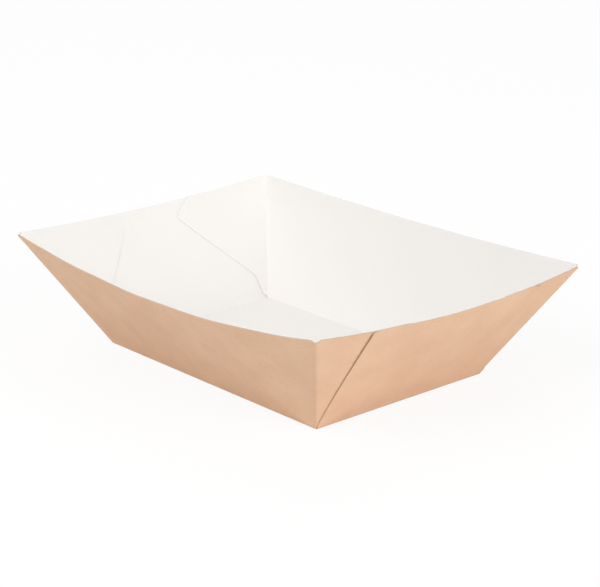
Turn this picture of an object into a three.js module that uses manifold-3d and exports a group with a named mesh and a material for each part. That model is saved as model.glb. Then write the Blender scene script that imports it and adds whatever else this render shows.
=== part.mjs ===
// A paper food tray, folded and glued from one sheet of board.
//
// The base carries two long side walls and two short end panels, and all four lean outwards. Each side wall
// goes on round its two corners as glue flaps, which lie against the inside of the end panels.
// Millimetres, +Z up. The origin is the middle of the underside, X runs along the tray and Y across it.

import * as THREE from "three";
import { mergeVertices } from "three/addons/utils/BufferGeometryUtils.js";
import Module from "manifold-3d";

// The board, and how it bends
const boardThickness = 0.45;
const creaseRadius = 0.5; // inside every fold
const gluePress = 0.06; // how far two glued layers press into each other

// The flat of the base, between its folds
const baseLength = 127;
const baseWidth = 81;

// How far the corners of the rim stand out past the base, and how high they are
const endFlare = 28.8;
const sideFlare = 24.3;
const rimHeight = 46.2;

// Between its corners the rim dips and bulges. These are at the middle of each wall
const sideRimDip = 4.2;
const sideRimBulge = 5.8;
const endRimDip = 3.2;
const endRimBulge = 2.8;

// The nick in the rim at each corner crease
const nickWidth = 3.4;
const nickDepth = 1.2;

// The end panel widens with the corner creases at first, and would stand out this far past the base corner
// at its foot. From there it narrows by the lean on its way up
const panelSpread = 1.2;
const panelLean = 1.1;

// The free edge of a glue flap: its reach along the end wall from the base corner, at heights up the wall.
// It leaves the crease at its foot, goes straight up its neck, leans out to its tip and back to the rim.
// The tip's drop is measured down the wall from the rim
const flapFootHeight = 0.5;
const flapNeckReach = 1.2;
const flapNeckHeight = 11;
const flapTipReach = 27.5;
const flapTipDrop = 7.4;
const flapTipRounding = 2;
const flapRimReach = 17.5;

// How far the strip of base that each wall is folded up from runs in
const baseStrip = 3;

// How finely the curves are divided
const foldSteps = 3;
const sideSteps = 8; // from the middle of a side wall to its corner
const flapSteps = 6;
const flapLeanSteps = 4;
const panelSteps = 16;
const panelRows = 4;

// Every fold is a crease radius outside a sharp core, which starts this high
const coreFloor = boardThickness + creaseRadius;
const coreHeight = rimHeight - coreFloor;
const endLean = Math.atan2(endFlare, coreHeight);
const endSlope = Math.hypot(endFlare, coreHeight);
const flapTipHeight = endSlope - flapTipDrop;
const nickUp = 1 - nickDepth / endSlope;
const down = new THREE.Vector3(0, 0, -1);

// Each wall is ruled from a straight foot to a curved rim, along from -1 to 1 between its two corners
const side = {
  foot: (along) => new THREE.Vector3((along * baseLength) / 2, baseWidth / 2, coreFloor),
  rim: (along) => {
    const bow = 1 - along * along;
    const x = along * (baseLength / 2 + endFlare);
    const y = baseWidth / 2 + sideFlare + sideRimBulge * bow;
    return new THREE.Vector3(x, y, rimHeight - sideRimDip * bow);
  },
};

const end = {
  foot: (along) => new THREE.Vector3(baseLength / 2, (-along * baseWidth) / 2, coreFloor),
  rim: (along) => {
    const bow = 1 - along * along;
    const x = baseLength / 2 + endFlare + endRimBulge * bow;
    const y = -along * (baseWidth / 2 + sideFlare);
    return new THREE.Vector3(x, y, rimHeight - endRimDip * bow);
  },
};

// The end panel lies one layer further out than the flaps, and its crease moves out along the base
const layerStep = boardThickness - gluePress;
const layerOut = new THREE.Vector3(Math.cos(endLean), 0, -Math.sin(endLean)).multiplyScalar(layerStep);
const creaseOut = new THREE.Vector3(layerStep / Math.cos(endLean), 0, 0);

const panel = {
  foot: (along) => end.foot(along).add(creaseOut),
  rim: (along) => end.rim(along).add(layerOut),
};

// A point of a wall's core, up from 0 at the foot to 1 at the rim, and the way straight out of it
function onWall(wall, along, up) {
  return wall.foot(along).lerp(wall.rim(along), up);
}

function outOf(wall, along, up) {
  const nudge = 1e-4;
  const across = onWall(wall, along + nudge, up).sub(onWall(wall, along - nudge, up));
  const rise = wall.rim(along).sub(wall.foot(along));
  return rise.cross(across).normalize();
}

// Turns a direction part of the way towards another
function turned(from, to, share) {
  const whole = new THREE.Quaternion().setFromUnitVectors(from, to);
  const part = new THREE.Quaternion().slerp(whole, share);
  return from.clone().applyQuaternion(part);
}

// Where the end wall's corner crease lies, and the free edge of the flap, as reach from the base corner
function creaseReach(height) {
  return (-sideFlare * height) / endSlope;
}

function flapReach(height) {
  const foot = creaseReach(flapFootHeight) + height - flapFootHeight;
  const leanShare = (height - flapNeckHeight) / (flapTipHeight - flapNeckHeight);
  const lean = THREE.MathUtils.lerp(flapNeckReach, flapTipReach, Math.max(leanShare, 0));
  const backShare = (height - flapTipHeight) / (endSlope - flapTipHeight);
  const back = THREE.MathUtils.lerp(flapTipReach, flapRimReach, backShare);
  const rounded = (lean + back - Math.hypot(lean - back, flapTipRounding)) / 2;
  return Math.max(creaseReach(height), Math.min(foot, rounded));
}

// A wall is laid out in columns along it and rows up it. A column gives a point of the core and the way out
// of it at any height, and how far up the rim is there
function wallColumns() {
  const nickAlong = 1 - nickWidth / 2 / (baseLength / 2 + endFlare);
  const columns = [];
  for (let step = 0; step <= sideSteps; step += 1) {
    const along = (nickAlong * step) / sideSteps;
    columns.push({ top: 1, at: (up) => [onWall(side, along, up), outOf(side, along, up)] });
  }
  return columns;
}

function cornerColumns() {
  const columns = [];
  for (let step = 0; step <= foldSteps; step += 1) {
    const turn = (up) => turned(outOf(side, 1, up), outOf(end, -1, up), step / foldSteps);
    columns.push({ top: nickUp, at: (up) => [onWall(side, 1, up), turn(up)] });
  }
  return columns;
}

function flapColumns() {
  const nickShare = nickWidth / 2 / (sideFlare + flapRimReach);
  const columns = [];
  for (let step = 0; step <= flapSteps; step += 1) {
    const share = THREE.MathUtils.lerp(nickShare, 1, step / flapSteps);
    const alongAt = (up) => {
      const crease = baseWidth / 2 + sideFlare * up;
      const edge = baseWidth / 2 - flapReach(up * endSlope);
      return -THREE.MathUtils.lerp(crease, edge, share) / crease;
    };
    columns.push({ top: 1, at: (up) => [onWall(end, alongAt(up), up), outOf(end, alongAt(up), up)] });
  }
  return columns;
}

function mirrored(column) {
  const flip = (vector) => new THREE.Vector3(-vector.x, vector.y, vector.z);
  return { top: column.top, at: (up) => column.at(up).map(flip) };
}

function panelHalf(up) {
  return baseWidth / 2 + Math.min(sideFlare * up, panelSpread - panelLean * up);
}

function panelColumns() {
  const columns = [];
  for (let step = 0; step <= panelSteps; step += 1) {
    const share = (2 * step) / panelSteps - 1;
    const alongAt = (up) => (share * panelHalf(up)) / (baseWidth / 2 + sideFlare * up);
    columns.push({ top: 1, at: (up) => [onWall(panel, alongAt(up), up), outOf(panel, alongAt(up), up)] });
  }
  return columns;
}

// The rows start with a strip of the base, then turn through the fold and go up the wall.
// inwards is the way from the wall to the middle of the base
function boardRows(heights, inwards) {
  const strip = inwards.clone().multiplyScalar(baseStrip);
  const still = new THREE.Vector3();
  const rows = [{ up: 0, turn: 1, shift: strip }];
  for (let step = foldSteps; step > 0; step -= 1) {
    rows.push({ up: 0, turn: step / foldSteps, shift: still });
  }
  return [...rows, ...heights.map((up) => ({ up, turn: 0, shift: still }))];
}

// A closed sheet of board along the rows and columns
function boardSheet(rows, columns) {
  const positions = [];
  for (const row of rows) {
    for (const column of columns) {
      const [core, out] = column.at(Math.min(row.up, column.top));
      const face = turned(out, down, row.turn);
      const inner = core.clone().add(row.shift).addScaledVector(face, creaseRadius);
      const outer = inner.clone().addScaledVector(face, boardThickness);
      positions.push(...inner.toArray(), ...outer.toArray());
    }
  }
  const inner = (row, column) => 2 * (row * columns.length + column);
  const outer = (row, column) => inner(row, column) + 1;
  const triangles = [];
  const quad = (a, b, c, d) => triangles.push(a, b, c, a, c, d);
  const lastRow = rows.length - 1;
  const lastColumn = columns.length - 1;
  for (let r = 0; r < lastRow; r += 1) {
    for (let c = 0; c < lastColumn; c += 1) {
      quad(outer(r, c), outer(r + 1, c), outer(r + 1, c + 1), outer(r, c + 1));
      quad(inner(r, c), inner(r, c + 1), inner(r + 1, c + 1), inner(r + 1, c));
    }
    quad(outer(r + 1, 0), outer(r, 0), inner(r, 0), inner(r + 1, 0));
    quad(outer(r, lastColumn), outer(r + 1, lastColumn), inner(r + 1, lastColumn), inner(r, lastColumn));
  }
  for (let c = 0; c < lastColumn; c += 1) {
    quad(outer(0, c), outer(0, c + 1), inner(0, c + 1), inner(0, c));
    quad(outer(lastRow, c + 1), outer(lastRow, c), inner(lastRow, c), inner(lastRow, c + 1));
  }
  const sheet = new THREE.BufferGeometry();
  sheet.setAttribute("position", new THREE.Float32BufferAttribute(positions, 3));
  sheet.setIndex(triangles);
  return sheet;
}

// A side wall with its two flaps, from the free edge of one to the free edge of the other
function sideSheet() {
  const half = [...wallColumns(), ...cornerColumns(), ...flapColumns()];
  const columns = [...half.slice(1).reverse().map(mirrored), ...half];
  const footTop = flapFootHeight + flapNeckReach - creaseReach(flapFootHeight);
  const heights = [0, flapFootHeight, footTop];
  for (let step = 0; step <= flapLeanSteps; step += 1) {
    const share = step / flapLeanSteps;
    heights.push(THREE.MathUtils.lerp(flapNeckHeight, flapTipHeight - flapTipRounding, share));
  }
  heights.push(flapTipHeight, flapTipHeight + flapTipRounding, endSlope - 2 * nickDepth, endSlope);
  heights.sort((low, high) => low - high);
  const rows = boardRows(heights.map((height) => height / endSlope), new THREE.Vector3(0, -1, 0));
  return boardSheet(rows, columns);
}

function endSheet() {
  const widest = panelSpread / (sideFlare + panelLean);
  const ups = Array.from({ length: panelRows + 1 }, (_, row) => row / panelRows);
  ups.push(widest);
  ups.sort((low, high) => low - high);
  return boardSheet(boardRows(ups, new THREE.Vector3(-1, 0, 0)), panelColumns());
}

function baseSheet() {
  const plan = new THREE.Shape();
  plan.moveTo(-baseLength / 2, -baseWidth / 2);
  plan.lineTo(baseLength / 2, -baseWidth / 2);
  plan.lineTo(baseLength / 2, baseWidth / 2);
  plan.lineTo(-baseLength / 2, baseWidth / 2);
  return new THREE.ExtrudeGeometry(plan, { depth: boardThickness, bevelEnabled: false });
}

const wasm = await Module();
wasm.setup();

// A solid from a closed mesh, with its shared corners merged and its empty triangles dropped
function solid(geometry) {
  const bare = geometry.clone();
  bare.deleteAttribute("normal");
  bare.deleteAttribute("uv");
  const merged = mergeVertices(bare);
  const corners = Array.from(merged.index.array);
  const kept = [];
  for (let i = 0; i < corners.length; i += 3) {
    const [a, b, c] = corners.slice(i, i + 3);
    if (a !== b && b !== c && c !== a) {
      kept.push(a, b, c);
    }
  }
  const vertProperties = merged.attributes.position.array;
  return new wasm.Manifold(new wasm.Mesh({ numProp: 3, vertProperties, triVerts: Uint32Array.from(kept) }));
}

function asGeometry(joined) {
  const { vertProperties, triVerts } = joined.getMesh();
  const geometry = new THREE.BufferGeometry();
  geometry.setAttribute("position", new THREE.BufferAttribute(vertProperties, 3));
  geometry.setIndex(new THREE.BufferAttribute(triVerts, 1));
  geometry.computeVertexNormals();
  return geometry;
}

// The other side and the other end are the same sheets, turned half way round
function tray() {
  let joined = solid(baseSheet());
  for (const turn of [0, Math.PI]) {
    joined = joined.add(solid(sideSheet().rotateZ(turn)));
    joined = joined.add(solid(endSheet().rotateZ(turn)));
  }
  return asGeometry(joined);
}

const kraftBoard = new THREE.MeshStandardMaterial({ color: 0xd6ae8c, roughness: 0.8, metalness: 0 });
const foldedTray = new THREE.Mesh(tray(), kraftBoard);
foldedTray.name = "folded_tray";

const foodTray = new THREE.Group();
foodTray.add(foldedTray);

export default foodTray;
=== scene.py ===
# A paper food tray, dressed for its photograph: one folded sheet of kraft board with a white coated inside.
#
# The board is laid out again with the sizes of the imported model, finely enough for smooth curves, with the
# small unevenness of a tray that was folded and glued by machine. Metres, +Z up, in the frame of the model.
# On a wall, along runs from -1 to 1 and up from 0 at the fold to 1 at the rim.

import math

import bmesh
import bpy
from mathutils import Matrix, Vector


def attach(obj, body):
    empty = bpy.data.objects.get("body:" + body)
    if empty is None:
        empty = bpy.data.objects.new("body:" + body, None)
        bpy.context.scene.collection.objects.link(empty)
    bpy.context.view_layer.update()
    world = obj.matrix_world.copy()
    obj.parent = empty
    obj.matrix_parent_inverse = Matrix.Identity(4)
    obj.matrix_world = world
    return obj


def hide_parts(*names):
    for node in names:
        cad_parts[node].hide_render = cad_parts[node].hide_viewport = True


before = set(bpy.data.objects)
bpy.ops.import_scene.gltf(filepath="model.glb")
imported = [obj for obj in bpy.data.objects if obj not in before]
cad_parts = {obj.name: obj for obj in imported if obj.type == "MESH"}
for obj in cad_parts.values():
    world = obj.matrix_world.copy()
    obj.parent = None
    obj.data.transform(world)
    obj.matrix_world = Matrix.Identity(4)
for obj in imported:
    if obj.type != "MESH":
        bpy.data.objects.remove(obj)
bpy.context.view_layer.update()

MM = 0.001
NODE = "folded_tray"

# The board, and how it bends
BOARD = 0.45 * MM
CREASE_RADIUS = 0.5 * MM  # inside every fold
CORNER_SOFTNESS = 1.0 * MM  # how much rounder the corner folds are at the rim
GLUE_PRESS = 0.06 * MM

# The base between its folds, and how far the rim's corners stand out past it
BASE_LENGTH = 127 * MM
BASE_WIDTH = 81 * MM
END_FLARE = 28.8 * MM
SIDE_FLARE = 24.3 * MM
RIM_HEIGHT = 46.2 * MM

# How far the rim dips and bulges at the middle of each wall
SIDE_RIM_DIP = 4.2 * MM
SIDE_RIM_BULGE = 5.8 * MM
END_RIM_DIP = 2.9 * MM  # on this tray, 0.3 less than the model's
END_RIM_BULGE = 2.8 * MM

# How much the dips of this tray's two front rims grow from the middle towards +X or +Y, and shrink towards
# their other end
SIDE_RIM_SKEW = {-1: 1.7 * MM, 1: 0.0}
END_RIM_SKEW = {-1: 0.0, 1: 0.2 * MM}

# How far this tray's rim corners are from where they would be on a perfect one
CORNER_SHIFT = {
    (-1, -1): Vector((0.0, -0.1, -0.15)) * MM,
    (1, -1): Vector((-0.1, 0.5, 1.6)) * MM,
    (1, 1): Vector((0.5, 0.3, -0.4)) * MM,
    (-1, 1): Vector((-0.1, -0.3, -0.4)) * MM,
}

# How far its base corners are from where they would be
FOOT_SHIFT = {
    (-1, -1): Vector(),
    (1, -1): Vector((-0.6, 0.0, 0.0)) * MM,
    (1, 1): Vector((-0.3, 1.0, 0.0)) * MM,
    (-1, 1): Vector(),
}

# The nick in the rim at each corner fold
NICK_WIDTH = 3.4 * MM
NICK_DEPTH = 1.2 * MM

# The glued end panel, which widens with the corner folds to its spread, then narrows by its lean. Its side
# edges are up to 0.4 mm from where the model has them
PANEL_SPREAD = 0.9 * MM
PANEL_LEAN = 0.4 * MM
PANEL_FOOT_SPREAD = 0.1 * MM  # how far its fold runs past the base corner
PANEL_LIFT = 0.35 * MM  # how far its side edges stand off the flap at the rim
PANEL_LIFT_REACH = 7 * MM

# The free edge of a glue flap, as reach along the end wall at heights up it. The drop is down from the rim
FLAP_FOOT_HEIGHT = 0.5 * MM
FLAP_NECK_REACH = 1.2 * MM
FLAP_NECK_HEIGHT = 11 * MM
FLAP_TIP_REACH = 27.5 * MM
FLAP_TIP_DROP = 7.4 * MM
FLAP_TIP_ROUNDING = 2 * MM
FLAP_RIM_REACH = 17.5 * MM
FLAP_PRESS = 0.19 * MM  # how far the glue press has sunk its free edge
FLAP_PRESS_REACH = 2.5 * MM
FLAP_PRESS_WIDTH = FLAP_PRESS_REACH / 4  # where a flap is narrower than this, it is sunk less

# The waves in the board, as high as this and one for every so much of wall. Where they start depends on how
# far the rim bows
WAVE_HEIGHT = 0.12 * MM
WAVE_LENGTH = 43 * MM
WAVE_START = 2.1 / MM  # radians for each metre of bow

# How finely the sheet is divided
FOLD_STEPS = 5
SIDE_STEPS = 36  # from the middle of a side wall to its corner
FLAP_STEPS = 14
PANEL_STEPS = 48
WALL_ROWS = 18
MERGE_DISTANCE = 0.002 * MM  # points nearer than this are joined
SLIVER = 0.001 * MM  # edges shorter than this are dissolved

# Every fold is a crease radius outside a sharp core, which starts this high
CORE_FLOOR = BOARD + CREASE_RADIUS
END_LEAN = math.atan2(END_FLARE, RIM_HEIGHT - CORE_FLOOR)
END_SLOPE = math.hypot(END_FLARE, RIM_HEIGHT - CORE_FLOOR)
FLAP_TIP_HEIGHT = END_SLOPE - FLAP_TIP_DROP
LAYER_STEP = BOARD - GLUE_PRESS
PANEL_FOOT_SHARE = 1 + PANEL_FOOT_SPREAD / (BASE_WIDTH / 2)
DOWN = Vector((0, 0, -1))

# How far up the nick is deepest, and how far along a side wall it begins
NICK_UP = 1 - NICK_DEPTH / END_SLOPE
NICK_ALONG = 1 - NICK_WIDTH / 2 / (BASE_LENGTH / 2 + END_FLARE)

# The light of the sky, and how much of the floor's white is its own where it is seen
WORLD_LIGHT = 0.48
FLOOR_GLOW = 0.87

LAMP_DISTANCE = 1.6
FLOOR_SIZE = 6
FLOOR_DROP = 0.02 * MM  # how far it lies below the tray

# The material of each face. The last one, for the flaps' free edges, is greyed as painted shade
COATED, KRAFT, CUT_EDGE, SHADED_FLAP_EDGE = range(4)


def mix(first, last, share):
    return first + (last - first) * share


def turned(start, stop, share):
    """A direction turned part of the way from start to stop."""
    same = 1e-4  # radians
    if start.angle(stop) < same:
        return start.lerp(stop, share).normalized()
    return start.slerp(stop, share)


def rim_corner(x_side, y_side):
    x = x_side * (BASE_LENGTH / 2 + END_FLARE)
    y = y_side * (BASE_WIDTH / 2 + SIDE_FLARE)
    return Vector((x, y, RIM_HEIGHT)) + CORNER_SHIFT[x_side, y_side]


def base_corner(x_side, y_side):
    flat = Vector((x_side * BASE_LENGTH / 2, y_side * BASE_WIDTH / 2, CORE_FLOOR))
    return flat + FOOT_SHIFT[x_side, y_side]


class Wall:
    """A wall's core, ruled from its straight foot to its curved rim. It runs along towards +X or +Y."""

    def __init__(self, outward, foot_ends, rim_ends, bulge, dip, skew):
        self.outward = outward
        self.foot_ends = foot_ends
        self.rim_ends = rim_ends
        self.bow = outward * bulge + DOWN * dip
        self.skew = DOWN * skew

    def foot(self, along):
        return self.foot_ends[0].lerp(self.foot_ends[1], (along + 1) / 2)

    def rim(self, along):
        straight = self.rim_ends[0].lerp(self.rim_ends[1], (along + 1) / 2)
        return straight + (self.bow + self.skew * along) * (1 - along * along)

    def out(self, along, up):
        """The way straight out of the wall."""
        nudge = 1e-4
        sideways = self.ruled(along + nudge, up) - self.ruled(along - nudge, up)
        normal = sideways.cross(self.rim(along) - self.foot(along)).normalized()
        return normal if normal.dot(self.outward) > 0 else -normal

    def ruled(self, along, up):
        return self.foot(along).lerp(self.rim(along), up)

    def at(self, along, up):
        """A point of the core with the board's waves, and the way out of it.

        The waves fade out towards the wall's two ends and its fold.
        """
        out = self.out(along, up)
        length = (self.rim_ends[1] - self.rim_ends[0]).length
        turns = math.tau * along * length / 2 / WAVE_LENGTH
        wave = math.sin(turns + WAVE_START * self.bow.length) * (1 - along**4) * up
        return self.ruled(along, up) + out * wave * WAVE_HEIGHT, out


def side_wall(y_side):
    feet = [base_corner(x, y_side) for x in (-1, 1)]
    rims = [rim_corner(x, y_side) for x in (-1, 1)]
    return Wall(Vector((0, y_side, 0)), feet, rims, SIDE_RIM_BULGE, SIDE_RIM_DIP, SIDE_RIM_SKEW[y_side])


def end_wall(x_side):
    feet = [base_corner(x_side, y) for y in (-1, 1)]
    rims = [rim_corner(x_side, y) for y in (-1, 1)]
    return Wall(Vector((x_side, 0, 0)), feet, rims, END_RIM_BULGE, END_RIM_DIP, END_RIM_SKEW[x_side])


def panel_wall(x_side):
    """The end wall one layer further out, with its crease moved out along the base."""
    wall = end_wall(x_side)
    crease_out = Vector((x_side * LAYER_STEP / math.cos(END_LEAN), 0, 0))
    layer_out = Vector((x_side * math.cos(END_LEAN), 0, -math.sin(END_LEAN))) * LAYER_STEP
    wall.foot_ends = [end + crease_out for end in wall.foot_ends]
    wall.rim_ends = [end + layer_out for end in wall.rim_ends]
    return wall


def crease_reach(height):
    """Where the corner fold lies on the end wall, as reach from the base corner."""
    return -SIDE_FLARE * height / END_SLOPE


def flap_reach(height):
    """Where the flap's free edge lies on the end wall, as reach from the base corner.

    It goes out from the fold to a neck, slants out to a rounded tip and comes back to the rim.
    """
    foot = crease_reach(FLAP_FOOT_HEIGHT) + height - FLAP_FOOT_HEIGHT
    lean_share = (height - FLAP_NECK_HEIGHT) / (FLAP_TIP_HEIGHT - FLAP_NECK_HEIGHT)
    lean = mix(FLAP_NECK_REACH, FLAP_TIP_REACH, max(lean_share, 0))
    back_share = (height - FLAP_TIP_HEIGHT) / (END_SLOPE - FLAP_TIP_HEIGHT)
    back = mix(FLAP_TIP_REACH, FLAP_RIM_REACH, back_share)
    rounded = (lean + back - math.hypot(lean - back, FLAP_TIP_ROUNDING)) / 2
    return max(crease_reach(height), min(foot, rounded))


def panel_half(up):
    """Half the width of an end panel."""
    return BASE_WIDTH / 2 + min(PANEL_FOOT_SPREAD + SIDE_FLARE * up, PANEL_SPREAD - PANEL_LEAN * up)


# A wall is laid out in columns along it and rows up it. A column is how far up the rim is there, and a
# function from a height to a point of the core and the way out of it
def wall_columns(wall, x_side):
    """From next to the corner on one side to the middle."""
    for step in range(SIDE_STEPS, 0, -1):
        along = x_side * NICK_ALONG * step / SIDE_STEPS
        yield 1, lambda up, along=along: wall.at(along, up)


def corner_columns(side, end, x_side, y_side):
    """Round the corner fold, from the end wall to the side wall. Its core is rounded too."""
    for step in range(FOLD_STEPS + 1):

        def at(up, share=step / FOLD_STEPS):
            side_out = side.out(x_side, up)
            end_out = end.out(y_side, up)
            softness = CORNER_SOFTNESS * up
            inset = (side_out + end_out) * softness / (1 + side_out.dot(end_out))
            out = turned(end_out, side_out, share)
            return side.ruled(x_side, up) - inset + out * softness, out

        yield NICK_UP, at


def flap_columns(end, y_side):
    """From the free edge of the flap to next to the corner."""
    nick_share = NICK_WIDTH / 2 / (SIDE_FLARE + FLAP_RIM_REACH)
    for step in range(FLAP_STEPS, -1, -1):

        def at(up, share=mix(nick_share, 1, step / FLAP_STEPS)):
            crease = BASE_WIDTH / 2 + SIDE_FLARE * up
            edge = BASE_WIDTH / 2 - flap_reach(up * END_SLOPE)
            core, out = end.at(y_side * mix(crease, edge, share) / crease, up)
            from_edge = (1 - share) * (crease - edge) / FLAP_PRESS_REACH
            pressed = max(1 - from_edge, 0) * min((crease - edge) / FLAP_PRESS_WIDTH, 1)
            return core + out * FLAP_PRESS * pressed, out

        yield 1, at


def side_columns(y_side):
    """Along a side wall and its two flaps, from -X to +X."""
    side = side_wall(y_side)
    halves = []
    for x_side in (-1, 1):
        end = end_wall(x_side)
        corner = corner_columns(side, end, x_side, y_side)
        halves.append([*flap_columns(end, y_side), *corner, *wall_columns(side, x_side)])
    middle = (1, lambda up: side.at(0, up))
    return [*halves[0], middle, *reversed(halves[1])]


def panel_columns(x_side):
    """Across an end panel, from -Y to +Y."""
    panel = panel_wall(x_side)
    for step in range(PANEL_STEPS + 1):

        def at(up, share=2 * step / PANEL_STEPS - 1):
            half = panel_half(up)
            core, out = panel.at(share * half / (BASE_WIDTH / 2 + SIDE_FLARE * up), up)
            from_edge = (1 - abs(share)) * half / PANEL_LIFT_REACH
            return core + out * PANEL_LIFT * max(1 - from_edge, 0) ** 2 * up, out

        yield 1, at


def fold_rows():
    """The fold's rows, from the base to the wall: no way up yet, and how much is left of the turn."""
    return [(0, step / FOLD_STEPS) for step in range(FOLD_STEPS, 0, -1)]


def side_rows():
    """Heights up a side wall, with rows where the flap's outline turns and at the nick."""
    foot_top = FLAP_FOOT_HEIGHT + FLAP_NECK_REACH - crease_reach(FLAP_FOOT_HEIGHT)
    heights = [0, FLAP_FOOT_HEIGHT, foot_top, END_SLOPE - 2 * NICK_DEPTH, END_SLOPE - NICK_DEPTH, END_SLOPE]
    lowest = FLAP_NECK_HEIGHT / 2
    highest = FLAP_TIP_HEIGHT + 2 * FLAP_TIP_ROUNDING
    for step in range(WALL_ROWS + 1):
        heights.append(mix(lowest, highest, step / WALL_ROWS))
    return fold_rows() + [(height / END_SLOPE, 0) for height in sorted(heights)]


def panel_rows():
    """Shares of the way up an end panel, with a row where it is widest."""
    widest = (PANEL_SPREAD - PANEL_FOOT_SPREAD) / (SIDE_FLARE + PANEL_LEAN)
    ups = sorted([widest] + [row / WALL_ROWS for row in range(WALL_ROWS + 1)])
    return fold_rows() + [(up, 0) for up in ups]


class Board:
    """The sheet's mesh: its two faces a board apart, and the cut edges between them."""

    def __init__(self):
        self.mesh = bmesh.new()

    def pair(self, inner, outer):
        """A point on the inner face, and the one on the outer face behind it."""
        return self.mesh.verts.new(inner), self.mesh.verts.new(outer)

    def face(self, material, *corners):
        face = self.mesh.faces.new(corners)
        face.material_index = material
        face.smooth = True

    def skin(self, grid):
        """The sheet's two faces over a grid of pairs."""
        for low, high in zip(grid, grid[1:]):
            for corners in zip(low, low[1:], high[1:], high):
                inner, outer = zip(*corners)
                self.face(COATED, *inner)
                self.face(KRAFT, *reversed(outer))

    def cut(self, pairs, material):
        """The edge between the two faces, along a line of pairs."""
        for here, there in zip(pairs, pairs[1:]):
            self.face(material, here[0], there[0], there[1], here[1])

    def wall(self, rows, columns, side_edge):
        """A wall with its fold. Its first row is where the base begins, and the other edges are cut.

        The material of the cuts at its two sides is side_edge.
        """
        grid = []
        for up, turn in rows:
            line = []
            for top, at in columns:
                core, out = at(min(up, top))
                way = turned(out, DOWN, turn)
                inner = core + way * CREASE_RADIUS
                line.append(self.pair(inner, inner + way * BOARD))
            grid.append(line)
        self.skin(grid)
        self.cut([line[0] for line in grid], side_edge)
        self.cut(grid[-1], CUT_EDGE)
        self.cut([line[-1] for line in grid], side_edge)

    def base(self, x_shares, y_shares):
        """The flat of the base. It runs on at each end to the panel's fold."""
        grid = []
        for y_share in y_shares:
            ends = [end_wall(x_side).foot(y_share) for x_side in (-1, 1)]
            flat = [ends[0].lerp(ends[1], (x_share + 1) / 2) for x_share in x_shares]
            folds = [panel_wall(x_side).foot(y_share * PANEL_FOOT_SHARE) for x_side in (-1, 1)]
            places = [(place.x, place.y) for place in (folds[0], *flat, folds[1])]
            grid.append([self.pair((*place, BOARD), (*place, 0)) for place in places])
        self.skin(grid)
        for line in (grid[0], grid[-1]):
            self.cut(line[:2], CUT_EDGE)
            self.cut(line[-2:], CUT_EDGE)

    def object(self, name, materials):
        """The mesh as an object, joined where its patches meet, and sharp where the material changes."""
        bmesh.ops.remove_doubles(self.mesh, verts=self.mesh.verts, dist=MERGE_DISTANCE)
        bmesh.ops.dissolve_degenerate(self.mesh, edges=self.mesh.edges, dist=SLIVER)
        bmesh.ops.recalc_face_normals(self.mesh, faces=self.mesh.faces)
        for edge in self.mesh.edges:
            sides = {face.material_index for face in edge.link_faces}
            edge.smooth = len(sides) == 1
        data = bpy.data.meshes.new(name)
        self.mesh.to_mesh(data)
        self.mesh.free()
        for material in materials:
            data.materials.append(material)
        piece = bpy.data.objects.new(name, data)
        bpy.context.scene.collection.objects.link(piece)
        return piece


def folded_board(materials):
    board = Board()
    for y_side in (-1, 1):
        # The flaps' free edges get a grey that is painted shade
        board.wall(side_rows(), side_columns(y_side), SHADED_FLAP_EDGE)
    for x_side in (-1, 1):
        board.wall(panel_rows(), list(panel_columns(x_side)), CUT_EDGE)
    halves = [NICK_ALONG * step / SIDE_STEPS for step in range(SIDE_STEPS + 1)] + [1]
    x_shares = [-half for half in reversed(halves[1:])] + halves
    y_shares = [mix(-1, 1, step / PANEL_STEPS) for step in range(PANEL_STEPS + 1)]
    board.base(x_shares, y_shares)
    return board.object("folded_board", materials)


class Shader:
    """A material of nodes on one Principled shader."""

    def __init__(self, name, roughness, specular):
        self.material = bpy.data.materials.new(name)
        self.material.use_nodes = True
        self.tree = self.material.node_tree
        self.principled = self.tree.nodes["Principled BSDF"]
        self.principled.inputs["Roughness"].default_value = roughness
        self.principled.inputs["Specular IOR Level"].default_value = specular
        self.place = self.node("ShaderNodeTexCoord").outputs["Object"]

    def node(self, kind, **inputs):
        made = self.tree.nodes.new(kind)
        for name, value in inputs.items():
            self.give(made.inputs[name.replace("_", " ")], value)
        return made

    def give(self, socket, value):
        if isinstance(value, bpy.types.NodeSocket):
            self.tree.links.new(value, socket)
        else:
            socket.default_value = value

    def noise(self, scale, detail, stretch=(1, 1, 1), turn=(0, 0, 0)):
        """A noise with so many waves to the metre, squeezed along each axis by the stretch."""
        mapping = self.node("ShaderNodeMapping", Vector=self.place, Rotation=turn, Scale=stretch)
        texture = self.node("ShaderNodeTexNoise", Vector=mapping.outputs[0], Scale=scale, Detail=detail)
        return texture.outputs[0]

    def ramp(self, factor, stops):
        """A colour for the factor, read off between two stops that are a position and a colour each."""
        made = self.node("ShaderNodeValToRGB", Fac=factor)
        for element, (position, color) in zip(made.color_ramp.elements, stops):
            element.position = position
            element.color = color
        return made.outputs[0]

    def blended(self, factor, first, second):
        """Two colours mixed by the factor, on the sockets that the mix node has for colours."""
        made = self.node("ShaderNodeMix")
        made.data_type = "RGBA"
        self.give(made.inputs[0], factor)
        self.give(made.inputs[6], first)
        self.give(made.inputs[7], second)
        return made.outputs[2]

    def bump(self, height, distance, strength):
        made = self.node("ShaderNodeBump", Height=height, Distance=distance, Strength=strength)
        self.give(self.principled.inputs["Normal"], made.outputs[0])


def grey(level):
    return (level, level, level, 1)


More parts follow.
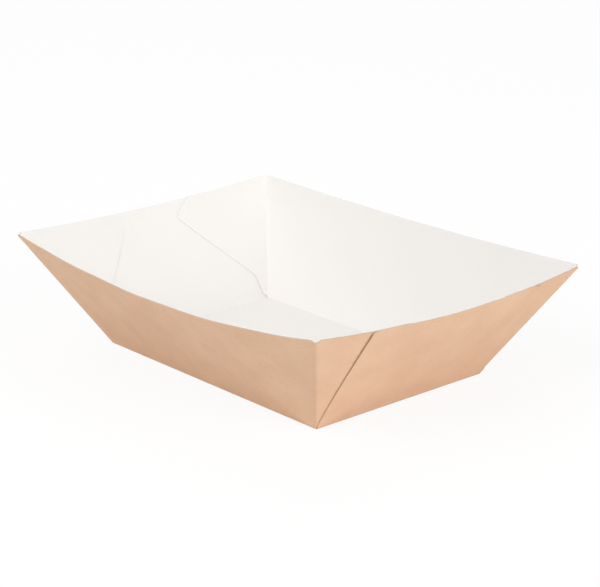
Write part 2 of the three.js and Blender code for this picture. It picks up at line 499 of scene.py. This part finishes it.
def kraft(name, color, dark_fibre, pale_fibre):
    """Uncoated brown board: pale clouds, dark mottle and short fibres that lie in two directions."""
    shader = Shader(name, roughness=0.72, specular=0.28)
    mottle = shader.noise(scale=90, detail=3)
    clouds = shader.noise(scale=22, detail=2)
    fibres = shader.noise(scale=2100, detail=3, stretch=(0.2, 1, 1), turn=(0.1, 0.3, 0.5))
    crossing = shader.noise(scale=1800, detail=3, stretch=(1, 0.2, 0.6), turn=(0.3, 0.2, 0.9))
    fill = shader.blended(shader.ramp(clouds, [(0.3, grey(0.2)), (0.7, grey(0.8))]), color, pale_fibre)
    soft = shader.blended(shader.ramp(mottle, [(0.35, grey(0.3)), (0.7, grey(0))]), fill, dark_fibre)
    strands = shader.blended(shader.ramp(fibres, [(0.36, grey(0.28)), (0.47, grey(0))]), soft, dark_fibre)
    flecks = shader.blended(shader.ramp(crossing, [(0.55, grey(0)), (0.7, grey(0.4))]), strands, pale_fibre)
    shader.give(shader.principled.inputs["Base Color"], flecks)
    shader.bump(shader.blended(0.5, fibres, crossing), distance=0.02 * MM, strength=0.5)
    return shader.material


def coated(name, color, shade):
    """A smooth matt lining with a faint tint and grain."""
    shader = Shader(name, roughness=0.5, specular=0.35)
    clouds = shader.noise(scale=18, detail=2)
    grain = shader.noise(scale=900, detail=3)
    tint = shader.blended(shader.ramp(clouds, [(0.35, grey(0)), (0.7, grey(0.6))]), color, shade)
    fine = shader.blended(shader.ramp(grain, [(0.4, grey(0.4)), (0.6, grey(0))]), tint, shade)
    shader.give(shader.principled.inputs["Base Color"], fine)
    shader.bump(grain, distance=0.012 * MM, strength=0.4)
    return shader.material


def direction(azimuth, elevation):
    """The way out from the tray, in degrees from -Y towards +X and up from the floor."""
    turn = math.radians(azimuth)
    rise = math.radians(elevation)
    return Vector((math.sin(turn) * math.cos(rise), -math.cos(turn) * math.cos(rise), math.sin(rise)))


def camera():
    """The photograph's view: where the camera stands round the tray, what it aims at, and its roll."""
    distance = 0.7857
    aim = Vector((-0.0085, 0.0129, 0.022))
    roll = math.radians(-1.3606)
    data = bpy.data.cameras.new("photo_camera")
    data.lens = 118.71
    data.sensor_width = 36
    made = bpy.data.objects.new("photo_camera", data)
    bpy.context.scene.collection.objects.link(made)
    made.location = direction(azimuth=50.647, elevation=20.245) * distance
    level = (aim - made.location).to_track_quat("-Z", "Y").to_matrix().to_4x4()
    made.matrix_world = Matrix.Translation(made.location) @ level @ Matrix.Rotation(roll, 4, "Z")
    bpy.context.scene.camera = made


def seen_rays(tree):
    """1 for the rays that show what they meet: from the camera, reflected or through glass."""
    rays = tree.nodes.new("ShaderNodeLightPath")
    seen = rays.outputs["Is Camera Ray"]
    for kind in ("Is Glossy Ray", "Is Transmission Ray"):
        most = tree.nodes.new("ShaderNodeMath")
        most.operation = "MAXIMUM"
        tree.links.new(seen, most.inputs[0])
        tree.links.new(rays.outputs[kind], most.inputs[1])
        seen = most.outputs[0]
    return seen


def floor_material(name, color):
    """Pale paper that gives off FLOOR_GLOW of its white where it is seen, so its shadows are faint."""
    material = bpy.data.materials.new(name)
    material.use_nodes = True
    tree = material.node_tree
    tree.nodes.clear()
    lit = tree.nodes.new("ShaderNodeBsdfDiffuse")
    faint = tree.nodes.new("ShaderNodeBsdfDiffuse")
    glow = tree.nodes.new("ShaderNodeEmission")
    lit.inputs["Color"].default_value = color
    faint.inputs["Color"].default_value = grey(1 - FLOOR_GLOW)
    glow.inputs["Strength"].default_value = FLOOR_GLOW
    seen = tree.nodes.new("ShaderNodeAddShader")
    either = tree.nodes.new("ShaderNodeMixShader")
    output = tree.nodes.new("ShaderNodeOutputMaterial")
    tree.links.new(faint.outputs[0], seen.inputs[0])
    tree.links.new(glow.outputs[0], seen.inputs[1])
    tree.links.new(seen_rays(tree), either.inputs[0])
    tree.links.new(lit.outputs[0], either.inputs[1])
    tree.links.new(seen.outputs[0], either.inputs[2])
    tree.links.new(either.outputs[0], output.inputs[0])
    return material


def floor(name, color):
    """A pale floor that looks white around the tray's shadow."""
    half = FLOOR_SIZE / 2
    corners = [(-half, -half, -FLOOR_DROP), (half, -half, -FLOOR_DROP),
               (half, half, -FLOOR_DROP), (-half, half, -FLOOR_DROP)]
    mesh = bpy.data.meshes.new(name)
    mesh.from_pydata(corners, [], [(0, 1, 2, 3)])
    made = bpy.data.objects.new(name, mesh)
    bpy.context.scene.collection.objects.link(made)
    mesh.materials.append(floor_material(name, color))


def softbox(name, azimuth, elevation, size, power):
    """A round area light that is turned to the tray."""
    data = bpy.data.lights.new(name, "AREA")
    data.shape = "DISK"
    data.size = size
    data.energy = power
    made = bpy.data.objects.new(name, data)
    bpy.context.scene.collection.objects.link(made)
    made.location = direction(azimuth, elevation) * LAMP_DISTANCE
    made.rotation_euler = (-made.location).to_track_quat("-Z", "Y").to_euler()


def white_world():
    """An even sky that is WORLD_LIGHT bright as a light and white where it is seen."""
    world = bpy.data.worlds.new("studio")
    world.use_nodes = True
    tree = world.node_tree
    background = tree.nodes["Background"]
    background.inputs["Color"].default_value = grey(1)
    strength = tree.nodes.new("ShaderNodeMapRange")
    strength.inputs["To Min"].default_value = WORLD_LIGHT
    strength.inputs["To Max"].default_value = 1
    tree.links.new(seen_rays(tree), strength.inputs["Value"])
    tree.links.new(strength.outputs[0], background.inputs["Strength"])
    bpy.context.scene.world = world


def studio():
    """A white sky, soft light from three sides and the floor."""
    white_world()
    softbox("key", azimuth=100, elevation=20, size=1.1, power=13.0)
    softbox("fill", azimuth=-10, elevation=40, size=1.2, power=11.6)
    softbox("back", azimuth=230, elevation=45, size=1.2, power=4)
    floor("floor", color=grey(0.9))


bpy.context.scene.view_settings.view_transform = "Standard"
camera()
studio()

kraft_side = kraft(
    "kraft_face",
    color=(0.735, 0.48, 0.318, 1),
    dark_fibre=(0.62, 0.385, 0.236, 1),
    pale_fibre=(0.78, 0.535, 0.37, 1),
)
white_side = coated(
    "coated_face",
    color=(0.872, 0.85, 0.826, 1),
    shade=(0.847, 0.822, 0.793, 1),
)
cut_edge = kraft(
    "cut_edge",
    color=(0.6, 0.42, 0.3, 1),
    dark_fibre=(0.47, 0.31, 0.21, 1),
    pale_fibre=(0.7, 0.53, 0.41, 1),
)
# The flaps' free edges: the board's cut edge, darkened and greyed as painted shade for the thin shadow line
# that each flap edge makes on the white inside
shaded_flap_edge = kraft(
    "shaded_flap_edge",
    color=(0.5, 0.455, 0.42, 1),
    dark_fibre=(0.4, 0.36, 0.33, 1),
    pale_fibre=(0.6, 0.55, 0.51, 1),
)
tray = folded_board([white_side, kraft_side, cut_edge, shaded_flap_edge])
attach(tray, "root")
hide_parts(NODE)
